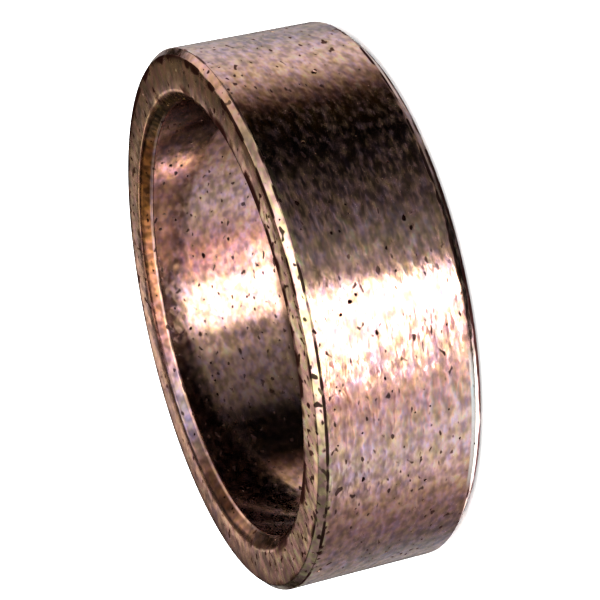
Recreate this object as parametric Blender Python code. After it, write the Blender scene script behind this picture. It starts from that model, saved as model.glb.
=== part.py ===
"""Plain sleeve bushing of sintered bronze: one ring, chamfered outside and in the bore at both ends.

Frame: metres, +Z along the bore axis, origin at the centre of the lower end face. The upper end has
a narrow outside chamfer. The lower end has a wider one, the lead-in that starts the sleeve into its
housing. Run it with blender --background --python part.py, or from Blender's text editor.
"""
import math

import bmesh
import bpy
from mathutils import Vector

MM = 0.001

# Driving dimensions
OUTER_DIAMETER = 25.0 * MM
BORE_DIAMETER = 20.0 * MM
LENGTH = 7.5 * MM
UPPER_OUTSIDE_CHAMFER = 0.30 * MM
LOWER_OUTSIDE_CHAMFER = 0.45 * MM
BORE_CHAMFER = 0.50 * MM

# Blend radii of the turned outline's corners
EDGE_BLEND = 0.10 * MM
BORE_MOUTH_BLEND = 0.50 * MM

# Smoothness of the faceted solid
SEGMENTS_AROUND = 96
BLEND_STEPS = 2
SHARP_ANGLE = math.radians(30.0)

# Finish
BRONZE_COLOUR = (0.52, 0.36, 0.27, 1.0)
BRONZE_ROUGHNESS = 0.38


def clear_scene():
    for thing in list(bpy.data.objects):
        bpy.data.objects.remove(thing, do_unlink=True)


def make_bronze():
    bronze = bpy.data.materials.new("sintered_bronze")
    bronze.use_nodes = True
    shader = bronze.node_tree.nodes["Principled BSDF"]
    shader.inputs["Base Color"].default_value = BRONZE_COLOUR
    shader.inputs["Roughness"].default_value = BRONZE_ROUGHNESS
    shader.inputs["Metallic"].default_value = 1.0
    return bronze


def blended_corner(before, corner, after, radius):
    """Points of the arc that rounds one corner, from the side of `before` to the side of `after`."""
    to_before = (before - corner).normalized()
    to_after = (after - corner).normalized()
    half_angle = to_before.angle(to_after) / 2
    centre = corner + (to_before + to_after).normalized() * radius / math.sin(half_angle)
    tangent_length = radius / math.tan(half_angle)
    start = (corner + to_before * tangent_length - centre).normalized()
    end = (corner + to_after * tangent_length - centre).normalized()
    steps = range(BLEND_STEPS + 1)
    return [centre + start.slerp(end, step / BLEND_STEPS) * radius for step in steps]


def outline():
    """Closed outline at +X: down the outside, in along the lower face, up the bore, out on top."""
    outer = OUTER_DIAMETER / 2
    bore = BORE_DIAMETER / 2
    mouth = bore + BORE_CHAMFER
    corners = [
        (outer, LENGTH - UPPER_OUTSIDE_CHAMFER, EDGE_BLEND),
        (outer, LOWER_OUTSIDE_CHAMFER, EDGE_BLEND),
        (outer - LOWER_OUTSIDE_CHAMFER, 0.0, EDGE_BLEND),
        (mouth, 0.0, BORE_MOUTH_BLEND),
        (bore, BORE_CHAMFER, EDGE_BLEND),
        (bore, LENGTH - BORE_CHAMFER, EDGE_BLEND),
        (mouth, LENGTH, BORE_MOUTH_BLEND),
        (outer - UPPER_OUTSIDE_CHAMFER, LENGTH, EDGE_BLEND),
    ]
    places = [Vector((radius, 0.0, height)) for radius, height, _ in corners]
    points = []
    for index, (_, _, blend) in enumerate(corners):
        after = places[(index + 1) % len(places)]
        points += blended_corner(places[index - 1], places[index], after, blend)
    return points


def make_sleeve(bronze):
    shape = bmesh.new()
    ring = [shape.verts.new(point) for point in outline()]
    sides = [shape.edges.new((ring[i - 1], ring[i])) for i in range(len(ring))]
    bmesh.ops.spin(
        shape,
        geom=ring + sides,
        cent=(0.0, 0.0, 0.0),
        axis=(0.0, 0.0, 1.0),
        angle=math.tau,
        steps=SEGMENTS_AROUND,
        use_merge=True,
    )
    bmesh.ops.recalc_face_normals(shape, faces=shape.faces)
    mesh = bpy.data.meshes.new("sleeve")
    shape.to_mesh(mesh)
    shape.free()
    mesh.shade_smooth()
    mesh.set_sharp_from_angle(angle=SHARP_ANGLE)
    mesh.materials.append(bronze)
    sleeve = bpy.data.objects.new("sleeve", mesh)
    bpy.context.collection.objects.link(sleeve)
    return sleeve


clear_scene()
make_sleeve(make_bronze())
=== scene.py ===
"""The looks of a plain sleeve bushing of porous sintered bronze, lying on one end face."""
import math

import bpy
import numpy as np
from mathutils import Matrix, Vector
from mathutils.geometry import delaunay_2d_cdt


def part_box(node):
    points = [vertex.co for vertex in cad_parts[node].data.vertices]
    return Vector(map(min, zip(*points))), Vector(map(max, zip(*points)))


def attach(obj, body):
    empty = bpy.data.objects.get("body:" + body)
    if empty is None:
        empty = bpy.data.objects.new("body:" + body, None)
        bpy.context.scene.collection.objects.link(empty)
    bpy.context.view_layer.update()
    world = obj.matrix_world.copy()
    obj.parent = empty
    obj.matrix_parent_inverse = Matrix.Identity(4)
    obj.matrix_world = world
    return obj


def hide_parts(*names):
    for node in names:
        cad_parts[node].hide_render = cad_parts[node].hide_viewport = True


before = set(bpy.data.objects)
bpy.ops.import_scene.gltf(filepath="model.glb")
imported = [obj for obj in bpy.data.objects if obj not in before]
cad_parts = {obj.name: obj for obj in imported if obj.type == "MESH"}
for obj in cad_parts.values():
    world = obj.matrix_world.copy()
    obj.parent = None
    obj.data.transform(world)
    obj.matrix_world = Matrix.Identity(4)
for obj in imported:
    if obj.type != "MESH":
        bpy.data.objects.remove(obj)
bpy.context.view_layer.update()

MM = 0.001
SEED = 20

# The ring, from the frame. Meshes hold 32-bit numbers, so the bore is rounded to 0.01 mm
LOW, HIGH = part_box("sleeve")
OUTER = HIGH.x
LENGTH = HIGH.z - LOW.z
BORE = min(math.hypot(v.co.x, v.co.y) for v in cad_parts["sleeve"].data.vertices)
BORE = round(BORE / MM, 2) * MM
CENTRE = (LOW + HIGH) / 2
MIDDLE_RADIUS = (OUTER + BORE) / 2

# Chamfers and corner blends, as in the design
UPPER_OUTSIDE_CHAMFER = 0.30 * MM
LOWER_OUTSIDE_CHAMFER = 0.45 * MM
BORE_CHAMFER = 0.50 * MM
EDGE_BLEND = 0.10 * MM
BORE_MOUTH_BLEND = 0.50 * MM

# The fine mesh: vertices round the ring, steps in each corner arc, the angle from which an edge is
# shaded sharp, and the filling points, which are jittered by a share of their spacing
COLUMNS = 480
ARC_STEPS = 3
SHARP_ANGLE = math.radians(38)
GRAIN_SPACING = 0.33 * MM
GRAIN_JITTER = 0.2
BORDER = 0.07 * MM

# Pores: points round each ring of one, the angle of the first in radians, and the least gap
# between two pores
PORE_POINTS = 8
FIRST_POINT_ANGLE = 0.3
PORE_GAP = 0.03 * MM
LARGEST_PORE_RADIUS = 0.12 * MM

# Filling points keep out of an oval round each pore: what is added to the pore's own size, and the
# square of the factor that then enlarges it
PORE_CLEARANCE = 0.06 * MM
CLEARANCE_SQUARE = 1.6

# Rings of points of one pore: the share of its radius, the share of its depth and the darkness
PORE_RINGS = ((1.0, 0.0, 0.25), (0.7, 0.8, 1.0))

# How far a pore is from round, as waves twice and three times round it. The least and the most that
# it is stretched along the ring, and its depth by its radius. The shape of the gamma distribution
# of the sizes: the higher, the more alike
PORE_LOBES = (0.16, 0.13)
PORE_STRETCH = (1.0, 1.4)
PORE_DEPTH = (0.7, 1.1)
PORE_SHAPE = 5.0

# Open pores per square millimetre and their mean radius in mm, on the outside, the chamfer below
# it, the lower face, its bore chamfer, the bore, the upper bore chamfer, the upper face and the
# upper outside chamfer
PORES = ((0.35, 0.058), (0.6, 0.05), (1.2, 0.07), (0.6, 0.05),
         (0.3, 0.05), (0.6, 0.05), (1.2, 0.07), (0.8, 0.05))

# The dark line of painted shade along the edge before each of those: its strength, the angle in
# degrees where it is strongest, and its width in mm on the side before and the side after the edge
EDGE_SHADE_LINES = ((1.0, -125, 0.04, 0.08), (1.1, -80, 0.12, 0.04), (1.6, -105, 0.40, 0.05),
              (0.1, 0, 0.05, 0.05), (0.4, 90, 0.05, 0.05), (0.4, 90, 0.05, 0.05),
              (0.9, -90, 0.05, 0.70), (1.35, 0, 0.45, 0.04))

# The share of an edge line that is left opposite its strongest place, and how fast it falls to that
EDGE_LEFT = 0.35
EDGE_FALL = 4

# Where the zones of the surface begin, in mm, from not at all to fully. As radii:
RIM_RADIUS = (11.98, 12.06)
MOUTH_OUTER = (10.62, 10.45)
MOUTH_INNER = (10.04, 10.12)
BORE_WALL = (BORE / MM + 0.12, BORE / MM + 0.04)
# As heights above the lower face:
RIM_HEIGHT = (6.9, 7.1)
# The next two bound the strip of painted highlight on the lower outside chamfer
HIGHLIGHT_STRIP_TOP = (0.68, 0.60)
HIGHLIGHT_STRIP_BOTTOM = (0.17, 0.25)
# The bore and its lower chamfer are painted darker below these heights: painted shade
BORE_SHADE_TOP = (1.4, 0.8)
# As a distance from the middle plane:
END_FROM_MIDDLE = (3.70, 3.74)

# The side of the ring that is marked most and where the painted highlights lie, as a direction in
# plan, and what it adds to the noise that makes its specks
MARKED_AND_HIGHLIT_SIDE = (-0.53, -0.85)
MARKED_BOOST = 0.07

# Colours of the metal
# DARK colours the pores and specks, and also the dark lines of painted shade along the edges
DARK = (0.03, 0.012, 0.01, 1)
DARK_GLARE = (0.70, 0.45, 0.45, 1)
WHITE = (1, 1, 1, 1)
GREYED = (0.68, 0.50, 0.38, 1)
END_BRONZE = (0.90, 0.55, 0.36, 1)
# Marks on one side of the end face and rim, lightened beyond the bronze: partly marks, partly painted
# highlight
PINK_MARK_AND_HIGHLIGHT = (1.00, 0.60, 0.52, 1)
YELLOW_MARK_AND_HIGHLIGHT = (1.00, 0.80, 0.42, 1)
OLIVE_AGE = (0.60, 0.47, 0.22, 1)
# Painted shade: the brown of the bottom of the bore
BORE_BOTTOM_SHADE = (0.22, 0.12, 0.08, 1)
# Painted highlight: the pale colour of the bright strip on the lower outside chamfer
PAINTED_HIGHLIGHT_COLOUR = (1.0, 0.90, 0.80, 1)
BRONZE_TINTS = ((0.34, (0.85, 0.51, 0.29)), (0.46, (0.84, 0.48, 0.36)),
                (0.55, (0.83, 0.46, 0.42)), (0.66, (0.74, 0.45, 0.53)))

# Painted reflection and shade on the bore chamfers across the ring, from -X at 0 to +X at 1
MOUTH_REFLECTION_COLOURS = ((0.0, (0.80, 0.66, 0.55)), (0.06, (0.06, 0.028, 0.008)), (0.17, (0.26, 0.22, 0.20)),
           (0.31, (0.48, 0.62, 0.88)), (0.50, (0.52, 0.40, 0.35)), (0.67, (0.60, 0.42, 0.26)),
           (0.83, (0.55, 0.37, 0.13)), (0.94, (0.55, 0.32, 0.13)), (1.0, (1.0, 1.0, 0.55)))

# Noise that follows the ring: grains per mm along it and across it, detail, roughness, and a shift
# that keeps the patterns apart
GRAIN = (2.1, 3.3, 1.0, 0.5, 0.0)
STREAK = (0.30, 3.6, 2.0, 0.5, 7.0)
FLECK = (2.6, 4.5, 0.0, 0.5, 19.0)
TINT = (1.7, 2.8, 2.0, 0.6, 31.0)
HUE = (2.4, 4.0, 1.0, 0.5, 43.0)
MOTTLE = (1.3, 1.3, 1.0, 0.5, 59.0)
SPOT = (3.2, 3.6, 0.0, 0.5, 71.0)
ROUGH = (2.4, 3.8, 1.0, 0.5, 83.0)

# Plain noise: patches per mm and detail
# The first two break up the painted shade along the edges
EDGE_SHADE_PATCHES = (0.45, 2.0)
EDGE_BREAKS = (0.9, 1.0)
STAIN = (0.28, 2.0)

# Roughness from the dullest grains to the brightest. In the bore it is a share of that and a little
# more, and the dark places add to it
GRAIN_ROUGHNESS = (0.22, 0.06)
BORE_ROUGHNESS = (0.4, 0.05)
DARK_ROUGHNESS = 0.3

BUMP_STRENGTH = 0.5
BUMP_HEIGHT = 0.028 * MM

# Where the black card under the ring begins, in mm to the side of its axis, how far it stays from
# the ring, and how many steps its outline has
FLAG_FROM = 2.2
FLAG_GAP = 0.05
FLAG_STEPS = 48

# The floor reaches this far each way, in metres
FLOOR_SIZE = 1.5
PAPER_STRENGTH = 3.2

# Light and dark panels by compass angle in degrees: 0 is the side of the viewer, 90 is +X.
# What the outside mirrors
OUTSIDE_PANELS = (
    (-180, 0.10), (-166, 0.12), (-156, 0.40), (-144, (0.25, 0.30, 0.36)),
    (-128, (0.17, 0.165, 0.18)), (-112, (0.21, 0.18, 0.21)), (-96, (0.36, 0.32, 0.30)),
    (-80, (0.78, 0.80, 0.88)), (-64, (0.66, 0.86, 1.0)), (-48, (0.95, 0.98, 1.0)),
    (-32, (1.0, 0.72, 0.76)), (-24, 1.0), (0, 1.0), (9, 0.36), (18, (0.17, 0.20, 0.20)),
    (32, 0.05), (48, 0.010), (66, 0.002), (84, (0.010, 0.007, 0.002)), (91, (0.07, 0.05, 0.04)),
    (98, (0.26, 0.23, 0.21)), (112, (0.72, 0.74, 0.74)), (128, (0.63, 0.66, 0.73)),
    (144, (0.32, 0.37, 0.43)), (156, 0.45), (166, 0.12), (180, 0.10))

# What the bore mirrors once
BORE_PANELS = (
    (-180, 0.10), (-156, 0.30), (-128, (0.26, 0.25, 0.27)), (-112, (0.17, 0.15, 0.17)),
    (-96, (0.27, 0.25, 0.24)), (-80, (0.34, 0.34, 0.38)), (-64, (0.56, 0.60, 0.68)),
    (-48, (0.46, 0.39, 0.41)), (-40, (0.80, 0.54, 0.57)), (-28, (1.0, 0.70, 0.74)), (-23, 1.0),
    (2, 1.0), (12, 0.58), (20, 0.20), (30, 0.17), (40, 0.12), (47, 0.09), (53, 0.02),
    (60, 0.002), (84, 0.003), (92, (0.06, 0.04, 0.03)), (100, (0.30, 0.25, 0.22)),
    (108, (0.55, 0.50, 0.42)), (128, (0.70, 0.74, 0.82)), (156, 0.45), (180, 0.10))

# What is seen after more than one reflection in the bore
ECHO_PANELS = (
    (-180, 0.05), (-160, 0.04), (-140, 0.01), (-70, 0.01), (-60, (0.05, 0.07, 0.08)),
    (-40, (0.10, 0.14, 0.16)), (-24, (0.2, 0.3, 0.33)), (-16, (0.6, 0.8, 0.95)),
    (2, (0.6, 0.8, 0.95)), (20, (0.24, 0.31, 0.35)), (50, (0.38, 0.50, 0.55)),
    (75, (0.65, 0.82, 0.88)), (96, (0.65, 0.82, 0.84)), (115, (0.30, 0.36, 0.36)), (132, 0.07),
    (150, 0.06), (158, 0.20), (168, 0.10), (180, 0.05))

# What the upper end face and the chamfers around it mirror
HIGH_PANELS = (
    (-180, (0.88, 0.72, 0.66)), (-177.5, (0.74, 0.60, 0.55)), (-175.5, (0.20, 0.15, 0.14)),
    (-170, (0.12, 0.09, 0.09)), (-151, 0.012), (-133, 0.26), (-113, 0.16), (-90, 0.50),
    (-57, 1.0), (0, 1.0), (45, 0.9), (57, 0.7), (90, 0.42), (113, (0.60, 0.54, 0.46)),
    (133, (0.95, 0.88, 0.80)), (150, 0.10), (168, (0.08, 0.06, 0.04)),
    (174, (0.14, 0.10, 0.08)), (175.5, (0.07, 0.05, 0.04)), (177.5, (0.34, 0.27, 0.25)),
    (180, (0.88, 0.72, 0.66)))

# What the lower outside chamfer mirrors: first well round the side, then nearer the viewer
DEEP_PANELS = (
    (-180, 0.3), (-170, 0.5), (-160, 1.0), (-120, 1.0), (-90, 0.5), (0, 0.3), (110, 0.3),
    (150, 0.4), (170, 0.6), (180, 0.3))
NADIR_PANELS = (
    (-180, 0.2), (-168, 1.0), (-130, 1.0), (-90, 0.5), (0, 0.3), (110, 0.3), (135, 0.22),
    (168, 0.22), (180, 0.2))

# The dim strip at the horizon, the darkness straight below, and tints for the faded lamp and for
# what is seen after more than two reflections
HORIZON_DIM = (0.02, 0.015, 0.01, 1)
FLOOR_DARK = (0.005, 0.004, 0.003, 1)
FADED_LAMP = (0.45, 0.40, 0.40, 1)
LATE_ECHO = (1.0, 1.5, 1.8, 1)

# Heights are the sine of a direction's elevation. The outside mirrors the first towards the viewer
# at its lower end, and the second at its upper end. The bore mirrors heights above the third.
OUTSIDE_LOWER_END = -0.386
OUTSIDE_UPPER_END = -0.318
BORE_FROM = (-0.318, -0.311)

# Heights at which one set of panels gives way to the next, upwards and downwards
LOW_TO_HORIZON = (-0.08, 0.02)
HORIZON_TO_HIGH = (0.12, 0.25)
LOW_TO_DEEP = (-0.42, -0.48)
DEEP_TO_NADIR = (-0.68, -0.76)
NADIR_TO_FLOOR = (-0.855, -0.890)

# The lamp: how far its lower edge leans in degrees at the outside's two heights, how far its upper
# edge leans at the lower of them, and the height from which that begins
LAMP_LEAN = (-19, 24)
LAMP_TIP = 5.5
LAMP_TIP_FROM = -0.330

# The lamp's hot core: the compass angles over which it starts and ends, and how much of the glow's
# lean it takes over where that is positive and where it is negative
CORE_START = (-25, -19)
CORE_END = (8, -1)
CORE_LEAN = (0.8, 0.65)

# What the core adds as the outside mirrors it at two heights, what it adds in the bore, and the
# heights over which it starts there
CORE_OUTSIDE = (3.6, 6.5)
CORE_OUTSIDE_HEIGHTS = (-0.370, -0.325)
CORE_IN_BORE = 3.2
CORE_IN_BORE_FROM = (-0.267, -0.279)

# Where the lamp fades for the deep part of the bore: heights, which rise along the compass by the
# slope, and the degrees that the panels behind it are shifted by
FADE_FROM = (-0.285, -0.297)
FADE_SLOPE = 0.43
FADE_SHIFT = 9

# How far the high panels are turned in degrees, at two heights
HIGH_TURN = (1, -4)
HIGH_TURN_HEIGHTS = (0.30, 0.34)

# What the ceiling adds overhead, and a light low down behind, and the heights over which they start
CEILING_GAIN = 1.2
CEILING_FROM = (0.75, 0.93)
KICK_GAIN = 1.5
KICK_FROM = (-0.50, -0.60)

# The camera, by the photograph's viewing angle
VIEW_ELEVATION = math.radians(18.35)
VIEW_ROLL = math.radians(-102.6)
VIEW_DISTANCE = 110.06 * MM
VIEW_AIM = (0.377 * MM, 0.221 * MM)
LENS = 144.33
SENSOR = 36.0


# ---------------------------------------------------------------- ring shape

def blended_corner(before, corner, after, radius, line_before, line_after):
    """Points of the arc that rounds one corner of the outline, with one more on each side."""
    to_before = (before - corner).normalized()
    to_after = (after - corner).normalized()
    half_angle = to_before.angle(to_after) / 2
    centre = corner + (to_before + to_after).normalized() * radius / math.sin(half_angle)
    tangent_length = radius / math.tan(half_angle)
    start = (corner + to_before * tangent_length - centre).normalized()
    end = (corner + to_after * tangent_length - centre).normalized()
    turn = start.angle(end)
    points = [corner + to_before * (tangent_length + line_before * MM)]
    for step in range(ARC_STEPS + 1):
        share = step / ARC_STEPS
        mixed = start * math.sin((1 - share) * turn) + end * math.sin(share * turn)
        points.append(centre + mixed * radius / math.sin(turn))
    points.append(corner + to_after * (tangent_length + line_after * MM))
    return points


def corner_arcs():
    """The outline's rounded corners, each a list of (radius, height): down the outside, in
    along the lower face, up the bore, out along the upper face."""
    mouth = BORE + BORE_CHAMFER
    corners = [
        (OUTER, LENGTH - UPPER_OUTSIDE_CHAMFER, EDGE_BLEND),
        (OUTER, LOWER_OUTSIDE_CHAMFER, EDGE_BLEND),
        (OUTER - LOWER_OUTSIDE_CHAMFER, 0.0, EDGE_BLEND),
        (mouth, 0.0, BORE_MOUTH_BLEND),
        (BORE, BORE_CHAMFER, EDGE_BLEND),
        (BORE, LENGTH - BORE_CHAMFER, EDGE_BLEND),
        (mouth, LENGTH, BORE_MOUTH_BLEND),
        (OUTER - UPPER_OUTSIDE_CHAMFER, LENGTH, EDGE_BLEND),
    ]
    places = [Vector((radius, height)) for radius, height, _ in corners]
    arcs = []
    for index, (_, _, blend) in enumerate(corners):
        after = places[(index + 1) % len(places)]
        widths = EDGE_SHADE_LINES[index][2:]
        arcs.append(blended_corner(places[index - 1], places[index], after, blend, *widths))
    return arcs


def scatter_pores(rng, around, across, per_mm2, mean_radius):
    """Centres and sizes of the open pores of one strip, kept apart and off its borders."""
    wanted = int(around * across / MM**2 * per_mm2)
    found = np.empty((0, 4))
    for _ in range(wanted * 2):
        if len(found) >= wanted:
            break
        size = rng.gamma(PORE_SHAPE, mean_radius * MM / PORE_SHAPE)
        size = min(size, LARGEST_PORE_RADIUS)
        stretch = rng.uniform(*PORE_STRETCH)
        reach = size * stretch + BORDER
        if across < 2 * reach:
            continue
        place = np.array([rng.uniform(reach, around - reach), rng.uniform(reach, across - reach)])
        if len(found):
            gap = np.hypot(found[:, 0] - place[0], found[:, 1] - place[1])
            if (gap < found[:, 2] * found[:, 3] + size * stretch + PORE_GAP).any():
                continue
        found = np.vstack([found, [place[0], place[1], size, stretch]])
    return found


def pore_points(rng, pores):
    """Rim, wall ring and floor point of each pore, as rows of (around, across, sink, pore)."""
    rows = []
    angle = np.arange(PORE_POINTS) * math.tau / PORE_POINTS
    for around, across, size, stretch in pores:
        lobe = 1 + PORE_LOBES[0] * np.cos(2 * angle + rng.uniform(0, math.tau))
        lobe += PORE_LOBES[1] * np.cos(3 * angle + rng.uniform(0, math.tau))
        depth = size * rng.uniform(*PORE_DEPTH)
        for ring, sink, pore in PORE_RINGS:
            reach = size * lobe * ring
            u = around + reach * stretch * np.cos(angle + FIRST_POINT_ANGLE)
            v = across + reach * np.sin(angle + FIRST_POINT_ANGLE)
            rows.append(np.stack([u, v, np.full_like(u, sink * depth), np.full_like(u, pore)], 1))
        rows.append(np.array([[around, across, depth, 1.0]]))
    return np.concatenate(rows) if rows else np.empty((0, 4))


def grain_points(rng, pores, around, across):
    """Jittered filling points of one strip, clear of its pores, as (around, across, 0, 0)."""
    rows = max(2, round(across / (GRAIN_SPACING * 0.87)))
    per_row = round(around / GRAIN_SPACING)
    points = []
    for row in range(1, rows):
        v = across * row / rows
        u = (np.arange(per_row) + 0.5 * (row % 2) + 0.25) * around / per_row
        u = u + rng.uniform(-GRAIN_JITTER, GRAIN_JITTER, per_row) * GRAIN_SPACING
        v = v + rng.uniform(-GRAIN_JITTER, GRAIN_JITTER, per_row) * GRAIN_SPACING
        points.append(np.stack([u, v], 1))
    points = np.concatenate(points)
    inside = (points[:, 0] > BORDER) & (points[:, 0] < around - BORDER)
    inside &= (points[:, 1] > BORDER) & (points[:, 1] < across - BORDER)
    points = points[inside]
    clear = np.ones(len(points), bool)
    for u, v, size, stretch in pores:
        du = (points[:, 0] - u) / (size * stretch + PORE_CLEARANCE)
        dv = (points[:, 1] - v) / (size + PORE_CLEARANCE)
        clear &= du**2 + dv**2 > CLEARANCE_SQUARE
    points = points[clear]
    return np.column_stack([points, np.zeros((len(points), 2))])


class RingMesh:
    """Collects the vertices, faces and per-vertex values of the whole ring."""

    def __init__(self):
        self.places = []
        self.pore = []
        self.edge = []
        self.faces = []
        self.count = 0

    def add(self, angle, radius, height, pore, edge):
        """Adds vertices and gives the number of the first one."""
        first = self.count
        self.places.append(np.stack([radius * np.cos(angle), radius * np.sin(angle), height], 1))
        self.pore.append(np.broadcast_to(pore, angle.shape))
        self.edge.append(np.broadcast_to(edge, angle.shape))
        self.count += len(angle)
        return first


def add_row(ring, point, line, strongest):
    """Adds one circle of vertices, with its share of the edge's dark line of painted shade."""
    angle = np.arange(COLUMNS) * math.tau / COLUMNS
    near = (1 + np.cos(angle - math.radians(strongest))) / 2
    edge = line * (EDGE_LEFT + (1 - EDGE_LEFT) * near**EDGE_FALL)
    radius = np.full(COLUMNS, point.x)
    height = np.full(COLUMNS, point.y)
    return ring.add(angle, radius, height, 0.0, edge)


def add_arc_faces(ring, row_a, row_b):
    """Joins two neighbouring circles of one corner with triangles."""
    here = np.arange(COLUMNS)
    after = (here + 1) % COLUMNS
    ring.faces.append(np.stack([row_a + here, row_b + here, row_b + after], 1))
    ring.faces.append(np.stack([row_a + here, row_b + after, row_a + after], 1))


def strip_triangles(flat):
    """Triangles over the unrolled strip's points, all turned the same way, without slivers.
    The first points are its two long borders."""
    lower = np.arange(COLUMNS)
    upper = lower + COLUMNS + 1
    edges = [(int(i), int(i) + 1) for i in np.concatenate([lower, upper])]
    scale = 1 / MM
    coords = [Vector((u * scale, w * scale)) for u, w in flat]
    found = delaunay_2d_cdt(coords, edges, [], 0, 1e-7)
    source = np.array([origin[0] for origin in found[3]])
    triangles = source[np.array(found[2])]
    a, b, c = (flat[triangles[:, k]] for k in range(3))
    area = (b[:, 0] - a[:, 0]) * (c[:, 1] - a[:, 1]) - (b[:, 1] - a[:, 1]) * (c[:, 0] - a[:, 0])
    triangles[area > 0] = triangles[area > 0][:, ::-1]
    return triangles[np.abs(area) > 1e-14]


def add_strip(ring, rng, row_a, row_b, start, end, porosity):
    """Fills the straight stretch between two corner rows with grain and open pores."""
    along = end - start
    across = along.length
    along.normalize()
    outward = Vector((-along.y, along.x))
    middle = (start.x + end.x) / 2
    around = math.tau * middle
    pores = scatter_pores(rng, around, across, *porosity)
    inner = np.concatenate([pore_points(rng, pores), grain_points(rng, pores, around, across)])

    # The strip is unrolled for its triangles, so its seam has two copies that share vertices
    seam_steps = max(1, round(across / GRAIN_SPACING))
    seam = np.arange(1, seam_steps) * across / seam_steps
    row_u = np.arange(COLUMNS + 1) * around / COLUMNS
    border = [np.stack([row_u, np.zeros_like(row_u)], 1)]
    border.append(np.stack([row_u, np.full_like(row_u, across)], 1))
    border.append(np.stack([np.zeros_like(seam), seam], 1))
    border.append(np.stack([np.full_like(seam, around), seam], 1))
    flat = np.concatenate(border + [inner[:, :2]])

    v = np.concatenate([seam, inner[:, 1]])
    sink = np.concatenate([np.zeros_like(seam), inner[:, 2]])
    pore = np.concatenate([np.zeros_like(seam), inner[:, 3]])
    angle = np.concatenate([np.zeros_like(seam), inner[:, 0] / middle])
    radius = start.x + along.x * v - outward.x * sink
    height = start.y + along.y * v - outward.y * sink
    first = ring.add(angle, radius, height, pore, 0.0)

    columns = np.arange(COLUMNS + 1) % COLUMNS
    seam_numbers = first + np.arange(len(seam))
    inner_numbers = first + len(seam) + np.arange(len(inner))
    number = np.concatenate([row_a + columns, row_b + columns, seam_numbers, seam_numbers,
                             inner_numbers])
    ring.faces.append(number[strip_triangles(flat)])


def make_ring():
    """The whole ring as one mesh, with its open pores and the values that its material reads."""
    rng = np.random.default_rng(SEED)
    ring = RingMesh()
    arcs = corner_arcs()
    rows = []
    for arc, (line, strongest, _, _) in zip(arcs, EDGE_SHADE_LINES):
        lines = [0.0] + [line] * (len(arc) - 2) + [0.0]
        rows.append([add_row(ring, point, line, strongest) for point, line in zip(arc, lines)])
        for row_a, row_b in zip(rows[-1], rows[-1][1:]):
            add_arc_faces(ring, row_a, row_b)
    for index, arc in enumerate(arcs):
        after = (index + 1) % len(arcs)
        add_strip(ring, rng, rows[index][-1], rows[after][0], arc[-1], arcs[after][0],
                  PORES[index])

    places = np.concatenate(ring.places) + np.array([0.0, 0.0, LOW.z])
    faces = np.concatenate(ring.faces)
    mesh = bpy.data.meshes.new("bronze_ring")
    mesh.from_pydata(places.tolist(), [], faces.tolist())
    # The edge values carry the strength of the painted shade along each edge
    for name, values in (("pore", ring.pore), ("edge", ring.edge)):
        attribute = mesh.attributes.new(name, "FLOAT", "POINT")
        attribute.data.foreach_set("value", np.concatenate(values).astype(np.float32))
    mesh.validate()
    mesh.shade_smooth()
    mesh.set_sharp_from_angle(angle=SHARP_ANGLE)
    return add_object("bronze_ring", mesh)


def add_object(name, data):
    """Puts one new object in the scene."""
    obj = bpy.data.objects.new(name, data)
    bpy.context.scene.collection.objects.link(obj)
    return obj


# ---------------------------------------------------------------- materials

class Nodes:
    """Short calls for building a node tree."""

    def __init__(self, owner):
        owner.use_nodes = True
        self.tree = owner.node_tree
        self.tree.nodes.clear()

    def add(self, kind, inputs=None, **settings):
        node = self.tree.nodes.new(kind)
        for key, value in settings.items():
            setattr(node, key, value)
        for key, value in (inputs or {}).items():
            if isinstance(value, bpy.types.NodeSocket):
                self.tree.links.new(value, node.inputs[key])
            else:
                node.inputs[key].default_value = value
        return node

    def finish(self, kind, surface):
        """Adds the output node and links the surface to it."""
        out = self.add(kind)
        self.tree.links.new(surface, out.inputs["Surface"])

    def math(self, operation, *values):
        node = self.add("ShaderNodeMath", dict(enumerate(values)), operation=operation)
        return node.outputs[0]

    def times(self, *values):
        """The product of all the values."""
        product = values[0]
        for value in values[1:]:
            product = self.math("MULTIPLY", product, value)
        return product

    def smooth(self, value, low, high, start=0.0, end=1.0, curve="SMOOTHSTEP"):
        """Goes from start to end while the value goes from low to high."""
        inputs = {"Value": value, "From Min": low, "From Max": high, "To Min": start, "To Max": end}
        return self.add("ShaderNodeMapRange", inputs, interpolation_type=curve).outputs[0]

    def mix(self, share, a, b, blend="MIX"):
        inputs = {0: share, 6: a, 7: b}
        return self.add("ShaderNodeMix", inputs, data_type="RGBA", blend_type=blend).outputs[2]

    def tinted(self, colour, tint):
        """One colour times another."""
        return self.mix(1.0, colour, tint, "MULTIPLY")

    def grey(self, value):
        return self.add("ShaderNodeCombineColor", {0: value, 1: value, 2: value}).outputs[0]

    def ramp(self, value, stops):
        """A ColorRamp through (place, colour or grey) stops."""
        node = self.add("ShaderNodeValToRGB", {"Fac": value})
        ramp = node.color_ramp
        while len(ramp.elements) > 1:
            ramp.elements.remove(ramp.elements[-1])
        for index, (place, colour) in enumerate(stops):
            element = ramp.elements[0] if index == 0 else ramp.elements.new(place)
            element.position = place
            grey = isinstance(colour, (int, float))
            element.color = (colour, colour, colour, 1) if grey else (*colour, 1)
        return node.outputs["Color"]


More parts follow.
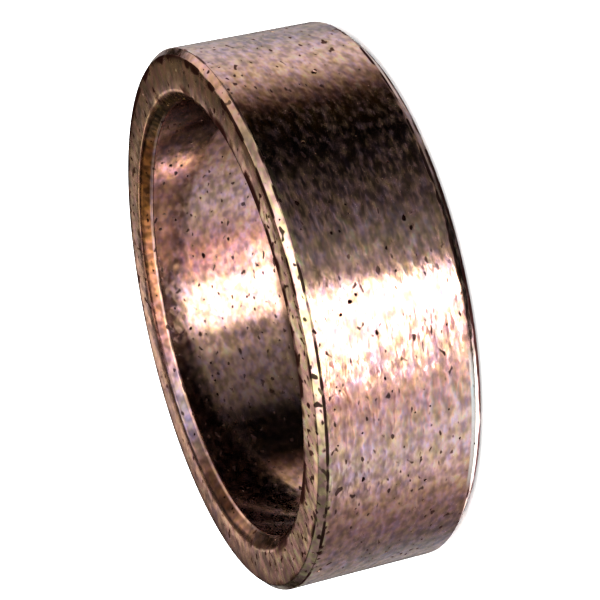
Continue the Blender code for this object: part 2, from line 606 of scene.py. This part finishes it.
class RingNodes(Nodes):
    """Nodes that know the ring: places in millimetres, its zones and noise that follows it."""

    def __init__(self, owner):
        super().__init__(owner)
        place = self.add("ShaderNodeTexCoord").outputs["Object"]
        scaled = self.add("ShaderNodeVectorMath", {0: place, 1: (1 / MM,) * 3}, operation="MULTIPLY")
        self.place = scaled.outputs[0]
        self.x, self.y, self.z = self.add("ShaderNodeSeparateXYZ", {0: self.place}).outputs
        squares = self.math("ADD", self.times(self.x, self.x), self.times(self.y, self.y))
        self.radius = self.math("SQRT", squares)

        from_middle = self.math("ABSOLUTE", self.math("SUBTRACT", self.z, LENGTH / MM / 2))
        self.end = self.smooth(from_middle, *END_FROM_MIDDLE)
        self.rim = self.times(self.smooth(self.radius, *RIM_RADIUS), self.smooth(self.z, *RIM_HEIGHT))
        self.end_or_rim = self.math("MAXIMUM", self.end, self.rim)
        self.bore = self.smooth(self.radius, *BORE_WALL)
        facing = self.math("MULTIPLY_ADD", self.x, MARKED_AND_HIGHLIT_SIDE[0], self.times(self.y, MARKED_AND_HIGHLIT_SIDE[1]))
        self.facing = self.math("DIVIDE", facing, self.radius)

    def ring_noise(self, along, across, detail, rough, shift):
        """Noise that follows the ring: so many grains per mm along it and across it. Most of its
        values lie between 0.3 and 0.7."""
        turn = self.math("DIVIDE", MIDDLE_RADIUS / MM * along, self.radius)
        where = self.add("ShaderNodeCombineXYZ", {
            0: self.times(self.x, turn), 1: self.times(self.y, turn), 2: self.times(self.z, across)})
        depth = self.math("MULTIPLY_ADD", self.radius, along * 0.8, shift)
        inputs = {"Vector": where.outputs[0], "W": depth, "Scale": 1.0, "Detail": detail,
                  "Roughness": rough}
        return self.add("ShaderNodeTexNoise", inputs, noise_dimensions="4D").outputs["Fac"]

    def noise(self, scale, detail):
        inputs = {"Vector": self.place, "Scale": scale, "Detail": detail, "Roughness": 0.5}
        return self.add("ShaderNodeTexNoise", inputs).outputs["Fac"]

    def value(self, name):
        """One of the values that the mesh carries at its vertices."""
        return self.add("ShaderNodeAttribute", attribute_name=name).outputs["Fac"]


def painted_highlight_strip(n):
    """Where a painted highlight makes the lower outside chamfer bright, over one stretch round the
    ring.
    """
    return n.times(n.smooth(n.facing, 0.955, 0.98), n.smooth(n.z, *HIGHLIGHT_STRIP_TOP),
                   n.smooth(n.z, *HIGHLIGHT_STRIP_BOTTOM))


def dark_places(n, spot, painted_highlight):
    """Open pores, specks and the dark lines of painted shade along the edges."""
    pore = n.smooth(n.value("pore"), 0.1, 0.9)
    fleck = n.ring_noise(*FLECK)
    pit = n.smooth(fleck, 0.70, 0.78, 0.0, 0.85)
    worn = n.math("MULTIPLY_ADD", n.smooth(n.facing, 0.2, 0.9), MARKED_BOOST, spot)
    worn = n.smooth(worn, 0.71, 0.79, 0.0, 0.95)
    pit = n.math("MAXIMUM", pit, n.times(n.end_or_rim, worn))
    # Painted shade: dark lines along the edges, strongest at set angles round the ring, broken up by
    # noise
    edge = n.times(n.value("edge"), n.smooth(n.noise(*EDGE_SHADE_PATCHES), 0.3, 0.7, 0.8, 1.15),
                   n.smooth(n.noise(*EDGE_BREAKS), 0.38, 0.62, 0.50, 1.40))
    edge = n.smooth(edge, 0.28, 0.75, 0.0, 0.97)
    # The painted shade of the edges is left out where the painted highlight is
    edge = n.times(edge, n.math("SUBTRACT", 1.0, painted_highlight))
    return n.math("MAXIMUM", n.math("MAXIMUM", pore, pit), edge)


def metal_colour(n, grain, streak):
    """The bronze: mottled, marked on one side of the end face and rim in colours lightened as painted
    highlight, and aged on the other.
    """
    tint = n.ring_noise(*TINT)
    hue = n.ring_noise(*HUE)
    mottle = n.ring_noise(*MOTTLE)
    colour = n.ramp(tint, BRONZE_TINTS)
    colour = n.mix(n.smooth(hue, 0.35, 0.65, 0.0, 0.30), colour, GREYED)
    colour = n.mix(n.times(n.end, n.smooth(mottle, 0.35, 0.65)), colour, END_BRONZE)
    # Pink and yellow marks on one side of the end face and rim, partly marks and partly painted
    # highlight
    mark_and_highlight = n.mix(n.smooth(hue, 0.43, 0.57), PINK_MARK_AND_HIGHLIGHT, YELLOW_MARK_AND_HIGHLIGHT)
    colour = n.mix(n.times(n.end_or_rim, n.smooth(n.facing, 0.0, 0.8, 0.0, 0.85)), colour, mark_and_highlight)
    aged = n.times(n.end, n.smooth(n.x, 1.0, 8.0, 0.25, 0.75), n.smooth(n.facing, 0.6, 0.0),
                   n.smooth(hue, 0.42, 0.56))
    colour = n.mix(aged, colour, OLIVE_AGE)

    # The grain's shade is weaker on the end faces
    shade = n.smooth(grain, 0.28, 0.72, 0.62, 1.36)
    shade = n.math("MULTIPLY_ADD", n.math("SUBTRACT", 1.0, shade), n.times(n.end, 0.6), shade)
    lines = n.smooth(streak, 0.3, 0.7, 0.90, 1.08)
    blotch = n.smooth(mottle, 0.35, 0.62, -0.35, 0.25)
    lines = n.math("ADD", lines, n.times(n.end, blotch))
    stain = n.smooth(n.noise(*STAIN), 0.35, 0.65, 0.88, 1.10)
    return n.tinted(colour, n.grey(n.times(shade, lines, stain)))


def painted_mouth_reflections(n, spot):
    """The painted reflection and shade of the bore chamfers, white elsewhere. They are patchier
    towards +X.
    """
    patchy = n.math("SUBTRACT", n.smooth(spot, 0.35, 0.62, 0.62, 1.35), 1.0)
    patchy = n.math("MULTIPLY_ADD", patchy, n.smooth(n.x, -4.0, 3.0, 0.15, 1.0), 1.0)
    across = n.math("MULTIPLY_ADD", n.x, 0.05, 0.5)
    mouth_reflection = n.tinted(n.ramp(across, MOUTH_REFLECTION_COLOURS), n.grey(patchy))
    mouth = n.times(n.smooth(n.radius, *MOUTH_OUTER), n.smooth(n.radius, *MOUTH_INNER))
    return n.mix(mouth, WHITE, mouth_reflection)


def make_bronze():
    """Porous sintered bronze: grain and streaks, specks, painted shade along the edges and low in the
    bore, painted reflection on the bore chamfers and a painted highlight on the lower outside
    chamfer.
    """
    material = bpy.data.materials.new("sintered_bronze_surface")
    n = RingNodes(material)
    grain = n.ring_noise(*GRAIN)
    streak = n.ring_noise(*STREAK)
    spot = n.ring_noise(*SPOT)
    rough = n.ring_noise(*ROUGH)
    painted_highlight = painted_highlight_strip(n)
    dark = dark_places(n, spot, painted_highlight)

    # Painted reflection and shade on the bore chamfers
    colour = n.tinted(metal_colour(n, grain, streak), painted_mouth_reflections(n, spot))
    # Painted shade: the lowest part of the bore and its chamfer darkened brown
    bore_bottom_shade = n.times(n.smooth(n.radius, *MOUTH_OUTER), n.smooth(n.z, *BORE_SHADE_TOP))
    colour = n.mix(bore_bottom_shade, colour, BORE_BOTTOM_SHADE)
    # Painted highlight: a pale strip on the lower outside chamfer
    colour = n.mix(painted_highlight, colour, PAINTED_HIGHLIGHT_COLOUR)
    colour = n.mix(dark, colour, DARK)
    glare = n.mix(dark, WHITE, DARK_GLARE)

    roughness = n.smooth(rough, 0.32, 0.68, *GRAIN_ROUGHNESS)
    in_bore = n.math("MULTIPLY_ADD", roughness, *BORE_ROUGHNESS)
    roughness = n.smooth(n.bore, 0.0, 1.0, roughness, in_bore)
    roughness = n.math("ADD", roughness, n.times(dark, DARK_ROUGHNESS))
    height = n.math("ADD", n.times(grain, 0.8), n.times(streak, 0.3))
    height = n.times(height, n.smooth(n.bore, 0.0, 1.0, 1.0, 0.05))
    bump = n.add("ShaderNodeBump", {"Strength": BUMP_STRENGTH, "Distance": BUMP_HEIGHT,
                                   "Height": height})
    shader = n.add("ShaderNodeBsdfPrincipled", {
        "Base Color": colour, "Roughness": roughness, "Metallic": 1.0, "Specular Tint": glare,
        "Normal": bump.outputs[0]})
    n.finish("ShaderNodeOutputMaterial", shader.outputs[0])
    return material


# ---------------------------------------------------------------- studio

def make_floor():
    """A plain pale floor that the metal doesn't mirror."""
    mesh = bpy.data.meshes.new("floor")
    corners = [(x * FLOOR_SIZE, y * FLOOR_SIZE, LOW.z)
               for x, y in ((-1, -1), (1, -1), (1, 1), (-1, 1))]
    mesh.from_pydata(corners, [], [(0, 1, 2, 3)])
    floor = add_object("floor", mesh)
    material = bpy.data.materials.new("pale_floor")
    material.use_nodes = True
    shader = material.node_tree.nodes["Principled BSDF"]
    shader.inputs["Base Color"].default_value = (0.95, 0.95, 0.95, 1)
    shader.inputs["Roughness"].default_value = 0.9
    shader.inputs["Specular IOR Level"].default_value = 0.0
    mesh.materials.append(material)
    floor.visible_glossy = False


def mirrored_more_than(n, times):
    """1 where light is mirrored more than so many times, otherwise 0."""
    path = n.add("ShaderNodeLightPath").outputs
    return n.math("GREATER_THAN", path["Glossy Depth"], times + 0.5)


def make_flag():
    """A part disc of black card just under the ring. It stops only light that has been mirrored
    more than once, so that the bore's repeated reflections of the lamp stay dark."""
    below = LOW.z - FLAG_GAP * MM
    reach = (BORE + BORE_CHAMFER) / MM - FLAG_GAP
    start = math.acos(FLAG_FROM / reach)
    outline = []
    for step in range(FLAG_STEPS + 1):
        angle = start - step * start * 2 / FLAG_STEPS
        outline.append((reach * math.cos(angle) * MM, reach * math.sin(angle) * MM, below))
    mesh = bpy.data.meshes.new("flag")
    mesh.from_pydata(outline, [], [tuple(range(len(outline)))])
    material = bpy.data.materials.new("black_card")
    n = Nodes(material)
    clear = n.add("ShaderNodeBsdfTransparent").outputs[0]
    black = n.add("ShaderNodeBsdfDiffuse", {"Color": (0, 0, 0, 1)}).outputs[0]
    both = n.add("ShaderNodeMixShader", {0: mirrored_more_than(n, 1), 1: clear, 2: black})
    n.finish("ShaderNodeOutputMaterial", both.outputs[0])
    mesh.materials.append(material)
    add_object("flag", mesh)


def compass(angle):
    """A compass angle in degrees as a share of the full turn from -180."""
    return (angle + 180) / 360


class SkyNodes(Nodes):
    """Nodes of the surround that know a direction's compass angle and height."""

    def __init__(self, owner):
        super().__init__(owner)
        direction = self.add("ShaderNodeTexCoord").outputs["Generated"]
        x, y, self.height = self.add("ShaderNodeSeparateXYZ", {0: direction}).outputs
        azimuth = self.math("ARCTAN2", x, self.times(y, -1.0))
        self.azimuth = self.math("ADD", self.math("DIVIDE", azimuth, math.tau), 0.5)

    def turn(self, low, high):
        """Rises from 0 to 1 between two compass angles in degrees."""
        return self.smooth(self.azimuth, compass(low), compass(high))

    def rise(self, low, high):
        """Goes from 0 at the first height to 1 at the second, which may be the lower one."""
        return self.smooth(self.height, low, high)

    def panels(self, azimuth, stops):
        return self.ramp(azimuth, [(compass(angle), value) for angle, value in stops])


def lamp_shape(n, inside):
    """A leaning compass angle for the lamp's glow, and the lamp's hot core from 0 to 1. The lower
    edge leans: it reaches further round for the ring's upper end than for the lower."""
    lean = n.smooth(n.height, OUTSIDE_LOWER_END, OUTSIDE_UPPER_END, LAMP_LEAN[0] / 360,
                    LAMP_LEAN[1] / 360, curve="LINEAR")
    lean = n.times(lean, n.times(n.turn(-100, -60), n.turn(-3, -12)))
    # The upper edge leans a little too, towards the lower end
    tip = n.smooth(n.height, LAMP_TIP_FROM, OUTSIDE_LOWER_END, 0.0, LAMP_TIP / 360)
    tipped = n.math("ADD", n.azimuth, n.times(tip, n.turn(30, 12)))
    glow = n.math("ADD", tipped, lean)
    # The hot core leans less than the glow, and not at all as the bore sees it
    core = n.math("MAXIMUM", n.times(lean, CORE_LEAN[0]), n.times(lean, CORE_LEAN[1]))
    core = n.math("MULTIPLY_ADD", core, n.math("SUBTRACT", 1.0, inside), n.azimuth)
    core = n.times(n.smooth(tipped, compass(CORE_END[0]), compass(CORE_END[1])),
                   n.smooth(core, compass(CORE_START[0]), compass(CORE_START[1])))
    return glow, core


def lamp_fade(n, inside):
    """Rises from 0 to 1 where the lamp fades for the deep part of the bore, along a slanting
    line."""
    fade = n.math("MULTIPLY_ADD", n.math("SUBTRACT", n.azimuth, 0.5), -FADE_SLOPE, n.height)
    fade = n.times(n.smooth(fade, *FADE_FROM), n.turn(-26, -18))
    return n.times(fade, n.times(inside, n.turn(16, 8)))


def panel_colours(n, glow, fade, inside, again, often):
    """The colours of all the panels, from the floor up to the ceiling."""
    low = n.panels(glow, OUTSIDE_PANELS)
    bore = n.panels(n.math("MULTIPLY_ADD", fade, FADE_SHIFT / 360, n.azimuth), BORE_PANELS)
    bore = n.mix(fade, bore, n.tinted(bore, FADED_LAMP))
    echo = n.panels(n.azimuth, ECHO_PANELS)
    echo = n.mix(often, echo, LATE_ECHO, "MULTIPLY")
    turned = n.smooth(n.height, *HIGH_TURN_HEIGHTS, HIGH_TURN[0] / 360, HIGH_TURN[1] / 360)
    high = n.panels(n.math("FRACT", n.math("ADD", n.azimuth, turned)), HIGH_PANELS)

    light = n.mix(inside, low, bore)
    light = n.mix(again, light, echo)
    light = n.mix(n.rise(*LOW_TO_HORIZON), light, HORIZON_DIM)
    light = n.mix(n.rise(*HORIZON_TO_HIGH), light, high)
    light = n.mix(n.rise(*LOW_TO_DEEP), light, n.panels(n.azimuth, DEEP_PANELS))
    light = n.mix(n.rise(*DEEP_TO_NADIR), light, n.panels(n.azimuth, NADIR_PANELS))
    return n.mix(n.rise(*NADIR_TO_FLOOR), light, FLOOR_DARK)


def panel_strength(n, core, fade, inside, often):
    """How bright the panels are: 1, and more in the lamp's core, overhead and low down behind."""
    flash = n.times(core, n.rise(*reversed(LOW_TO_HORIZON)), n.rise(*reversed(LOW_TO_DEEP)),
                    n.math("SUBTRACT", 1.0, n.math("MAXIMUM", fade, often)))
    gain = n.smooth(n.height, *CORE_OUTSIDE_HEIGHTS, *CORE_OUTSIDE)
    gain = n.smooth(inside, 0.0, 1.0, gain, CORE_IN_BORE)
    flash = n.times(flash, gain, n.rise(*CORE_IN_BORE_FROM))
    ceiling = n.smooth(n.height, *CEILING_FROM, 0.0, CEILING_GAIN)
    kick = n.times(n.turn(-176, -168), n.turn(-110, -130), n.rise(*KICK_FROM))
    strength = n.math("ADD", flash, n.math("ADD", ceiling, 1.0))
    return n.math("ADD", strength, n.times(kick, KICK_GAIN))


def make_surround():
    """White paper all round for the eye and the floor, and light and dark panels for the metal."""
    world = bpy.data.worlds.new("studio")
    bpy.context.scene.world = world
    n = SkyNodes(world)
    world.cycles.sampling_method = "NONE"
    inside = n.rise(*BORE_FROM)
    again = mirrored_more_than(n, 1)
    often = mirrored_more_than(n, 2)
    fade = lamp_fade(n, inside)
    glow, core = lamp_shape(n, inside)
    light = panel_colours(n, glow, fade, inside, again, often)
    strength = panel_strength(n, core, fade, inside, often)

    panels = n.add("ShaderNodeBackground", {"Color": light, "Strength": strength}).outputs[0]
    paper = n.add("ShaderNodeBackground", {"Color": WHITE, "Strength": PAPER_STRENGTH}).outputs[0]
    glossy = n.add("ShaderNodeLightPath").outputs["Is Glossy Ray"]
    both = n.add("ShaderNodeMixShader", {0: glossy, 1: paper, 2: panels}).outputs[0]
    n.finish("ShaderNodeOutputWorld", both)


def make_camera():
    """The camera at the photograph's viewing angle, rolled so that the ring seems to stand."""
    back = Vector((0, -math.cos(VIEW_ELEVATION), math.sin(VIEW_ELEVATION)))
    level_right = Vector((1, 0, 0))
    level_up = Vector((0, math.sin(VIEW_ELEVATION), math.cos(VIEW_ELEVATION)))
    right = level_right * math.cos(VIEW_ROLL) + level_up * math.sin(VIEW_ROLL)
    up = level_up * math.cos(VIEW_ROLL) - level_right * math.sin(VIEW_ROLL)
    place = CENTRE + back * VIEW_DISTANCE + right * VIEW_AIM[0] + up * VIEW_AIM[1]
    data = bpy.data.cameras.new("camera")
    data.lens = LENS
    data.sensor_width = SENSOR
    data.clip_start = 5 * MM
    data.clip_end = 10.0
    camera = add_object("camera", data)
    camera.matrix_world = Matrix.Translation(place) @ Matrix((right, up, back)).transposed().to_4x4()
    bpy.context.scene.camera = camera


bpy.context.scene.view_settings.view_transform = "Standard"
make_camera()
make_surround()
make_floor()
make_flag()
sleeve = make_ring()
sleeve.data.materials.append(make_bronze())
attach(sleeve, "root")
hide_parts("sleeve")
